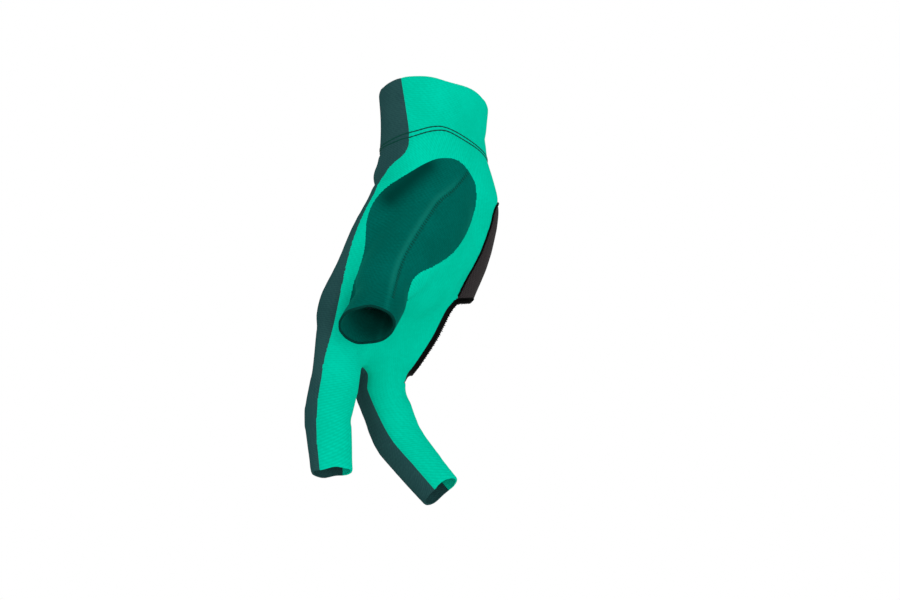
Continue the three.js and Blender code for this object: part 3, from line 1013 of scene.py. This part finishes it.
@dataclass(frozen=True)
class OpenMesh:
    """Black polyester mesh, knitted with small round holes: dull, with a fine dotted grain.

    Attributes:
        name: The material's name.
        thread: Colour of its threads.
        hole: Colour in its holes, where the dark inside shows.
        pitch: Distance between holes in millimetres.
    """

    name: str
    thread: str
    hole: str
    pitch: float = 1.1

    def material(self) -> bpy.types.Material:
        """Makes the material."""
        made, tree, shader = start_material(self.name)
        place = lay_pattern(tree, self.pitch, 45)
        dots = {"voronoi_dimensions": "2D", "Scale": 1.0, "Randomness": 0.12}
        holes = add_node(tree, "ShaderNodeTexVoronoi", {"Vector": place}, **dots).outputs["Distance"]
        solid = add_node(tree, "ShaderNodeMapRange", {"Value": holes}, From_Min=0.2, From_Max=0.38).outputs[0]
        ends = {"i6": linear(self.hole), "i7": linear(self.thread)}
        colour = add_node(tree, "ShaderNodeMix", {0: solid}, data_type="RGBA", **ends)
        bump = add_node(tree, "ShaderNodeBump", {"Height": solid}, Strength=0.5, Distance=0.0003)
        join_up(shader, bump, colour, Roughness=0.8, Specular_IOR_Level=0.08)
        return made


@dataclass(frozen=True)
class Thread:
    """Spun polyester sewing thread or tape: matt, twisted, with a fine slanting grain.

    Attributes:
        name: The material's name.
        colour: Colour of the thread.
        roughness: Roughness of its surface.
    """

    name: str
    colour: str
    roughness: float = 0.7

    def material(self) -> bpy.types.Material:
        """Makes the material."""
        made, tree, shader = start_material(self.name)
        place = add_node(tree, "ShaderNodeTexCoord").outputs["Object"]
        bands = {"wave_type": "BANDS", "bands_direction": "DIAGONAL", "Scale": 600.0, "Distortion": 1.0}
        twist = add_node(tree, "ShaderNodeTexWave", {"Vector": place}, **bands).outputs["Fac"]
        bump = add_node(tree, "ShaderNodeBump", {"Height": twist}, Strength=0.3, Distance=0.0001)
        looks = {"Base_Color": linear(self.colour), "Roughness": self.roughness, "Specular_IOR_Level": 0.02}
        join_up(shader, bump, **looks)
        return made


# Warp knit, heat-set: a smooth saturated face, whose rows only show as fine slanting lines
GREEN = StretchKnit("nylon elastane stretch knit, green", "#00B395", "#00A587")
TEAL = StretchKnit(
    "nylon elastane stretch knit, dark teal", "#234444", "#1C3B3C", slant=-15.0, fibre="#4E7F7C", satin=0.04
)
# The same knit with its satin side out: deeper, softly lit along folds, flecked and finer; painted shade
# darkens its upper-left border and a painted highlight lightens its ridge
SATIN = StretchKnit(
    "satin-faced thumb knit, deep green",
    "#00574E",
    "#00483F",
    row=0.8,
    slant=4.0,
    satin=0.2,
    patches=0.25,
    relief=0.18,
    painted_shade="#00302A",
    painted_highlight="#136F62",
)
# Painted shade: the turned edge round the thumb hole gets a darker colour for the shade that it lies in.
EDGE = StretchKnit("satin-faced thumb knit, turned edge in shade", "#05332D", "#042B26", satin=0.05)
# Knitted mesh: dull, with dots of the dark inside
MESH = OpenMesh("polyester mesh, black", "#2A2526", "#0B0A0A")
# Spun thread: matt, and darker than the cloth that it sinks into
SEAM_THREAD = Thread("polyester topstitch thread, dark green", "#083A31")
THUMB_THREAD = Thread("polyester overlock thread, deep green", "#06443B")
BLACK_THREAD = Thread("polyester overlock thread, black", "#030303")


Finish = StretchKnit | OpenMesh | Thread


@dataclass
class Dress:
    """What a panel is finished with.

    Attributes:
        panel: The cloth piece.
        slot: A slot name, passed to the workshop with the piece.
        finish: Its material.
        wall: Thickness of the cloth in millimetres.
    """

    panel: Panel
    slot: str
    finish: Finish
    wall: float = 0.9


DRESSES = (
    Dress(Panel.CUFF_FRONT, "green_knit", GREEN),
    Dress(Panel.CUFF_BACK, "teal_knit", TEAL),
    Dress(Panel.FRONT, "green_knit", GREEN),
    Dress(Panel.BACK, "teal_knit", TEAL),
    Dress(Panel.THUMB, "thumb_satin", SATIN),
    Dress(Panel.THUMB_EDGE, "dark_edge", EDGE),
    Dress(Panel.MESH, "black_mesh", MESH),
    Dress(Panel.OPEN_EDGE, "black_binding", BLACK_THREAD),
)


@dataclass
class Workshop:
    """Keeps the materials and puts pieces in the scene."""

    materials: dict[str, bpy.types.Material] = field(default_factory=dict)

    def material(self, finish: Finish) -> bpy.types.Material:
        """Gives a finish's material, made once."""
        if finish.name not in self.materials:
            self.materials[finish.name] = finish.material()
        return self.materials[finish.name]

    def place(self, name: str, bm: bmesh.types.BMesh, finish: Finish, slot: str) -> bpy.types.Object:
        """Makes an object of a mesh and lets it ride on the body.

        Args:
            name: The piece's name.
            bm: Its mesh, which is freed.
            finish: Its material.
            slot: Not used.

        Returns:
            The object.
        """
        mesh = mesh_of(bm, name)
        mesh.shade_smooth()
        mesh.materials.append(self.material(finish))
        obj = add_object(name, mesh)
        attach(obj, BODY)
        return obj


def neighbours(bm: bmesh.types.BMesh) -> list[list[int]]:
    """Lists the faces that share an edge with each face, by number."""
    bm.faces.index_update()
    beside = []
    for face in bm.faces:
        linked = [other.index for edge in face.edges for other in edge.link_faces]
        beside.append([other for other in linked if other != face.index])
    return beside


def fragments(beside: list[list[int]], kinds: Sequence[int]) -> list[list[int]]:
    """Finds connected pieces whose faces are of one kind.

    Args:
        beside: Each face's neighbours.
        kinds: Each face's kind.

    Returns:
        The faces of each piece, largest piece first.
    """
    seen = [False] * len(beside)
    pieces = []
    for first in range(len(beside)):
        if seen[first]:
            continue
        seen[first] = True
        piece, found = [], [first]
        while found:
            face = found.pop()
            piece.append(face)
            for other in beside[face]:
                if not seen[other] and kinds[other] == kinds[face]:
                    seen[other] = True
                    found.append(other)
        pieces.append(piece)
    return sorted(pieces, key=len, reverse=True)


@dataclass
class ClothPanels:
    """The eight cloth pieces, cut from the skin and given their thickness.

    Attributes:
        skin: The cut skin.
        plan: The borders.
        shop: The workshop.
        rounds: Rounds in which a laid-out piece evens its stretch.
        on_line: How near a point on the thumb's seam is, in millimetres.
        sorted_to: Each face's place in Panel.
    """

    skin: bmesh.types.BMesh
    plan: PanelPlan
    shop: Workshop
    rounds: int = 5
    on_line: float = 0.002
    sorted_to: np.ndarray = field(init=False)

    def __post_init__(self) -> None:
        """Sorts the skin's faces into panels."""
        self.skin.faces.ensure_lookup_table()
        middles = np.array([face.calc_center_median() for face in self.skin.faces]) / MM
        self.sorted_to = self.plan.sort(middles)
        self.mend()

    def mend(self) -> None:
        """Gives each fragment that the borders cut off from its panel to the panel that it touches most."""
        offcut = list(Panel).index(Panel.OFFCUT)
        beside = neighbours(self.skin)
        whole = {offcut}
        for piece in fragments(beside, self.sorted_to.tolist()):
            panel = self.sorted_to[piece[0]]
            if panel not in whole:
                whole.add(panel)
            elif panel != offcut:
                touched = [self.sorted_to[other] for face in piece for other in beside[face]]
                touched = [other for other in touched if other not in (panel, offcut)]
                self.sorted_to[piece] = max(set(touched), key=touched.count) if touched else offcut
                log.info("a fragment of %d faces changed its panel", len(piece))

    def build(self) -> None:
        """Makes every panel's object."""
        order = list(Panel)
        for dress in DRESSES:
            bm = self.skin.copy()
            bm.faces.ensure_lookup_table()
            wanted = order.index(dress.panel)
            gone = [face for face, to in zip(bm.faces, self.sorted_to) if to != wanted]
            bmesh.ops.delete(bm, geom=gone, context="FACES")
            self.keep_largest(bm)
            for edge in bm.edges:
                edge.smooth = not edge.is_boundary
            obj = self.shop.place(dress.panel.value + "_cloth", bm, dress.finish, dress.slot)
            self.lay_out(obj, dress.panel)
            # The thumb panel carries the amounts of its painted shade and painted highlight as a point
            # attribute.
            if isinstance(dress.finish, StretchKnit) and dress.finish.painted_shade:
                painted_shade_amount = obj.data.attributes.new(PAINTED_LIGHT_ATTRIBUTE, "FLOAT", "POINT")
                painted_shade_amount.data.foreach_set("value", self.plan.painted_shade(read_points(obj.data)))
            wall = obj.modifiers.new("wall", "SOLIDIFY")
            wall.thickness = dress.wall * MM
            wall.offset = -1
            wall.use_even_offset = False
            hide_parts(dress.panel.value)
            log.info("%s: %d faces", obj.name, len(obj.data.polygons))

    @staticmethod
    def keep_largest(bm: bmesh.types.BMesh) -> None:
        """Deletes all but the largest connected piece."""
        pieces = fragments(neighbours(bm), [0] * len(bm.faces))
        bm.faces.ensure_lookup_table()
        spare = [bm.faces[k] for piece in pieces[1:] for k in piece]
        if spare:
            bmesh.ops.delete(bm, geom=spare, context="FACES")

    def lay_out(self, obj: bpy.types.Object, panel: Panel) -> None:
        """Lays the cloth flat as its cut pattern, a map in metres with the glove's height as its length.

        Args:
            obj: The panel, before it has its thickness.
            panel: Which one it is. The thumb's is a tube, so it opens a little along its own seam.
        """
        mesh = obj.data
        points = read_points(mesh)
        if panel is Panel.THUMB:
            on_seam = np.abs(self.plan.thumb_seam(points)) < self.on_line
            for edge in mesh.edges:
                edge.use_seam = bool(on_seam[edge.vertices[0]] and on_seam[edge.vertices[1]])
        mesh.uv_layers.new(name="cloth")
        bpy.context.view_layer.objects.active = obj
        bpy.ops.object.mode_set(mode="EDIT")
        bpy.ops.mesh.select_all(action="SELECT")
        bpy.ops.uv.unwrap(method="MINIMUM_STRETCH", margin=0.0, iterations=self.rounds)
        bpy.ops.object.mode_set(mode="OBJECT")
        mesh = obj.data
        flat = read_all(mesh.uv_layers["cloth"].uv, "vector", 2)
        corners = read_all(mesh.loops, "vertex_index", 1, int)[:, 0]
        mesh.calc_loop_triangles()
        loops = read_all(mesh.loop_triangles, "loops", 3, int)
        a, b, c = flat[loops].transpose(1, 0, 2)
        cut = np.abs(np.cross(b - a, c - a)).sum() / 2
        a, b, c = points[corners][loops].transpose(1, 0, 2)
        area = np.linalg.norm(np.cross(b - a, c - a), axis=1).sum() / 2
        flat = (flat - flat.mean(0)) * math.sqrt(area / max(cut, 1e-12)) * MM
        height = points[corners, 2] - points[corners, 2].mean()
        slope, *_ = np.linalg.lstsq(flat, height, rcond=None)
        along = unit(slope)
        flat = flat @ np.array([[along[1], along[0]], [-along[0], along[1]]])
        mesh.uv_layers["cloth"].uv.foreach_set("vector", flat.ravel())
        size = (flat.max(0) - flat.min(0)) / MM
        log.info("%s: %.1f cm2 of cloth, cut from %.0f x %.0f mm", obj.name, area / 100, *size)


@dataclass
class Chains:
    """Ordered lines of skin vertices along the borders between panels."""

    panels: ClothPanels

    def between(self, one: Panel, other: Panel | None) -> list[tuple[np.ndarray, np.ndarray]]:
        """Finds the lines between two panels, or along a panel's free edge.

        Args:
            one: A panel.
            other: The panel beside it, or nothing for its free edge.

        Returns:
            Points and outward normals of each line, in millimetres, longest first.
        """
        order = list(Panel)
        wanted = sorted(order.index(panel) for panel in (one, other) if panel)
        to = self.panels.sorted_to
        beside: dict = {}
        for edge in self.panels.skin.edges:
            if sorted(int(to[face.index]) for face in edge.link_faces) == wanted:
                for vert in edge.verts:
                    beside.setdefault(vert, []).append(edge.other_vert(vert))
        lines = []
        while beside:
            start = next((v for v, near in beside.items() if len(near) == 1), None) or next(iter(beside))
            line = [start]
            while True:
                onward = [v for v in beside.get(line[-1], ()) if v in beside]
                for v in beside.pop(line[-1], ()):
                    if v in beside and line[-1] in beside[v]:
                        beside[v].remove(line[-1])
                if not onward:
                    break
                line.append(onward[0])
            if len(line) > 5:
                lines.append((np.array([v.co for v in line]) / MM, np.array([v.normal for v in line])))
        return sorted(lines, key=lambda line: -len(line[0]))


def resample(
    points: np.ndarray, normals: np.ndarray, step: float, rounds: int = 3
) -> tuple[np.ndarray, np.ndarray]:
    """Smooths a line and reads it at equal steps.

    Args:
        points: Points of the line.
        normals: Outward normals at them.
        step: Distance between readings.
        rounds: Rounds of smoothing.

    Returns:
        Points and normals at equal steps.
    """
    for _ in range(rounds):
        points, normals = (
            np.vstack([v[:1], (v[:-2] + 2 * v[1:-1] + v[2:]) / 4, v[-1:]]) for v in (points, normals)
        )
    run = np.concatenate([[0], np.cumsum(np.linalg.norm(np.diff(points, axis=0), axis=1))])
    at = np.arange(0, run[-1], step)
    read = [np.stack([np.interp(at, run, values[:, k]) for k in range(3)], 1) for values in (points, normals)]
    return read[0], unit(read[1])


def add_stitch(
    bm: bmesh.types.BMesh, start: np.ndarray, end: np.ndarray, out: np.ndarray, wide: float, high: float
) -> None:
    """Adds one stitch, a short rounded length of thread.

    Args:
        bm: The mesh to add to.
        start: One end, in millimetres.
        end: The other end.
        out: The cloth's outward direction.
        wide: Width across.
        high: Height over the cloth.
    """
    along = unit(end - start)
    rise = unit(out - along * (out @ along))
    side = np.cross(along, rise)
    turned = Matrix(np.stack([rise * high / 2, side * wide / 2, (end - start) / 2], 1).tolist()).to_4x4()
    turned.translation = Vector((start + end) / 2)
    bmesh.ops.create_uvsphere(bm, u_segments=6, v_segments=4, radius=1.0, matrix=Matrix.Scale(MM, 4) @ turned)


def meet(tree: BVHTree, rays: Sequence[tuple[Sequence[float], Sequence[float]]]) -> list[np.ndarray]:
    """Finds where rays first meet the skin.

    Args:
        tree: The skin.
        rays: Start, in millimetres, and direction of each.

    Returns:
        The points in millimetres, and the skin's normals there.
    """
    found = [tree.ray_cast(Vector(start) * MM, Vector(way))[:2] for start, way in rays]
    found = [(np.array(place) / MM, np.array(normal)) for place, normal in found if place is not None]
    return [np.array(values) for values in zip(*found)]


@dataclass
class Sewing:
    """All threads: the cuff's twin rows, the thumb seam's overlocking and the black edges.

    Attributes:
        chains: The borders' lines.
        plan: The borders.
        shop: The workshop.
        stitch: Length of one of the cuff's stitches.
        lap: How far it runs under the next.
        thread: Its thickness.
        tick: Distance between the thumb seam's crossing stitches.
        tick_ends: How far they reach to its two sides.
        tick_thread: Their width and height.
        loop: Distance between the black edge's loops.
        loop_thread: Their width and height.
        short: How much they end short of the binding's border.
        cord: Radius of the black cord along the mesh.
    """

    chains: Chains
    plan: PanelPlan
    shop: Workshop
    stitch: float = 2.3
    lap: float = 0.45
    thread: float = 0.75
    tick: float = 1.45
    tick_ends: tuple[float, float] = (1.1, 0.8)
    tick_thread: tuple[float, float] = (0.65, 0.5)
    loop: float = 0.95
    loop_thread: tuple[float, float] = (0.75, 0.7)
    short: float = 0.3
    cord: float = 0.6

    def surface(self) -> BVHTree:
        """Gives the skin as a tree to find points on."""
        return BVHTree.FromBMesh(self.chains.panels.skin)

    def cuff_rows(self, tree: BVHTree) -> bpy.types.Object:
        """Lays the twin rows round the cuff, along its seam and just above it."""
        ring = HAND.ring(np.asarray(HAND.rows[self.plan.seam_row], float))
        ring = np.vstack([ring, ring[:1]])
        around = np.linspace(0, len(ring) - 1, 361)
        ring = np.stack([np.interp(around, np.arange(len(ring)), ring[:, k]) for k in range(3)], 1)
        centre = ring[:-1].mean(0)
        ways = unit((ring - centre) * (1, 1, 0))
        bm = bmesh.new()
        for row, raised in ((self.plan.lower_row, 0.3), (self.plan.upper_row, 0.0)):
            heights = self.plan.row_height(ring, row, self.plan.seam_row) + raised
            starts = [(*(centre[:2] + way[:2] * 80), height) for way, height in zip(ways, heights)]
            at, out = resample(*meet(tree, list(zip(starts, -ways))), self.stitch)
            for a, b, n in zip(at[:-1], at[1:], out):
                lap = unit(b - a) * self.lap
                add_stitch(bm, a - lap, b + lap, n, self.thread, self.thread * 0.7)
        return self.shop.place("cuff_topstitch", bm, SEAM_THREAD, "dark_edge")

    def thumb_ticks(self, tree: BVHTree) -> bpy.types.Object:
        """Lays the short crossing stitches along the thumb panel's ridge."""
        bm = bmesh.new()
        rays = [((x, -300, z), (0, 1, 0)) for x, z in self.plan.thumb_ridge.points[1:-1]]
        at, out = resample(*meet(tree, rays), self.tick)
        for a, b, n in zip(at[:-1], at[1:], out):
            side = unit(np.cross(b - a, n))
            start, end = a - side * self.tick_ends[0], a + side * self.tick_ends[1]
            add_stitch(bm, start + n * 0.05, end + n * 0.15, n, *self.tick_thread)
        return self.shop.place("thumb_overlock", bm, THUMB_THREAD, "thumb_satin")

    def black_edge(self) -> bpy.types.Object:
        """Lays the overlock loops over the open side's bound edge."""
        bm = bmesh.new()
        for points, normals in self.chains.between(Panel.OPEN_EDGE, None):
            at, out = resample(points, normals, self.loop)
            sides = unit(np.cross(at[1:] - at[:-1], out[:-1]))
            onto, off = (self.plan.open_line.distance(at[:-1] + sides * way) for way in (1, -1))
            inward = onto > off
            for i, (a, b, n, side, within) in enumerate(zip(at[:-1], at[1:], out, sides, inward)):
                side = side if within else -side
                lean = (b - a) * 0.35
                taper = float(ramp(a[2], *self.plan.loop_taper))
                reach = (0.7 + 0.2 * math.sin(i * 2.4)) * taper
                width = self.plan.binding * taper
                if width > self.short:
                    start = a - side * reach - n * 0.5
                    end = a + side * (width - self.short) + lean + n * 0.12
                    add_stitch(bm, start, end, n, *self.loop_thread)
        return self.shop.place("open_side_overlock", bm, BLACK_THREAD, "black_binding")

    def mesh_cord(self) -> bpy.types.Object:
        """Lays the black cord along the border of the mesh."""
        curve = bpy.data.curves.new("mesh_cord", "CURVE")
        curve.dimensions = "3D"
        curve.bevel_depth = self.cord * MM
        curve.bevel_resolution = 3
        curve.use_fill_caps = True
        for other in (Panel.FRONT, Panel.BACK):
            for points, normals in self.chains.between(Panel.MESH, other):
                at, out = resample(points, normals, 1.0)
                spline = curve.splines.new("POLY")
                spline.points.add(len(at) - 1)
                raised = (at + out * 0.1) * MM
                spline.points.foreach_set("co", np.hstack([raised, np.ones((len(at), 1))]).ravel())
        holder = add_object("mesh_cord_path", curve)
        mesh = GloveSkin.baked(holder)
        bpy.data.objects.remove(holder)
        bm = bmesh.new()
        bm.from_mesh(mesh)
        bmesh.ops.remove_doubles(bm, verts=bm.verts, dist=1e-6)
        return self.shop.place("mesh_border_cord", bm, BLACK_THREAD, "black_binding")


@dataclass
class Studio:
    """A plain pale floor, soft white light and the photograph's long-lens camera.

    Attributes:
        centre: What the middle of the picture shows, in millimetres.
        across: Width of the picture at the glove.
        lens: Focal length, on a sensor of 36 mm.
        floor: Height of the floor.
    """

    centre: tuple[float, float, float] = (7.65, -25.0, -89.1)
    across: float = 405.0
    lens: float = 300.0
    floor: float = -300.0

    def camera(self) -> None:
        """Makes the camera, level and square to the front view."""
        data = bpy.data.cameras.new("camera")
        data.sensor_width = 36.0
        data.lens = self.lens
        data.clip_end = 100.0
        camera = add_object("camera", data)
        distance = self.across * self.lens / data.sensor_width
        camera.location = Vector(self.centre) * MM - Vector((0, distance * MM, 0))
        camera.rotation_euler = (math.pi / 2, 0, 0)
        bpy.context.scene.camera = camera

    def light(self, name: str, place: tuple[float, float, float], size: float, power: float) -> None:
        """Adds a soft lamp that points at the glove, its place in metres."""
        data = bpy.data.lights.new(name, "AREA")
        data.shape = "DISK"
        data.size = size
        data.energy = power
        lamp = add_object(name, data)
        lamp.location = place
        aim = Vector(self.centre) * MM - Vector(place)
        lamp.rotation_euler = aim.to_track_quat("-Z", "Y").to_euler()

    def build(self) -> None:
        """Makes the floor, the white surroundings and the lamps."""
        scene = bpy.context.scene
        scene.view_settings.view_transform = "Standard"
        bm = bmesh.new()
        place = Matrix.Translation((0, 0, self.floor * MM))
        bmesh.ops.create_circle(bm, cap_ends=True, segments=96, radius=1.2, matrix=place)
        mesh = mesh_of(bm, "floor")
        paper, _, shader = start_material("white paper sweep")
        shader.inputs["Base Color"].default_value = linear("#E8E8E6")
        shader.inputs["Roughness"].default_value = 0.9
        mesh.materials.append(paper)
        add_object("floor", mesh)
        world = bpy.data.worlds.new("white surroundings")
        world.use_nodes = True
        sky = world.node_tree.nodes["Background"]
        sky.inputs["Color"].default_value = (1, 1, 1, 1)
        sky.inputs["Strength"].default_value = 1.0
        scene.world = world
        self.light("key", (-0.55, -0.9, 0.55), 0.7, 3.4)
        self.light("fill", (0.3, -1.1, -0.1), 0.35, 2.2)
        self.light("side", (1.0, -0.7, -0.05), 0.45, 2.6)


def main() -> None:
    """Builds the studio, the skin, the panels and the sewing, in order."""
    logging.basicConfig(level=logging.INFO, stream=sys.stdout, format="%(relativeCreated)7d %(message)s")
    studio = Studio()
    studio.camera()
    studio.build()
    plan = PanelPlan()
    skin = GloveSkin(plan)
    mesh = skin.solid()
    log.info("skin: %d faces", len(mesh.polygons))
    bm = skin.cut(mesh)
    log.info("cut skin: %d faces", len(bm.faces))
    Relief(plan).press(bm)
    shop = Workshop()
    panels = ClothPanels(bm, plan, shop)
    panels.build()
    sewing = Sewing(Chains(panels), plan, shop)
    tree = sewing.surface()
    bm.normal_update()
    for piece in (sewing.cuff_rows(tree), sewing.thumb_ticks(tree), sewing.black_edge(), sewing.mesh_cord()):
        log.info("%s: %d faces", piece.name, len(piece.data.polygons))


if __name__ == "__main__":
    main()
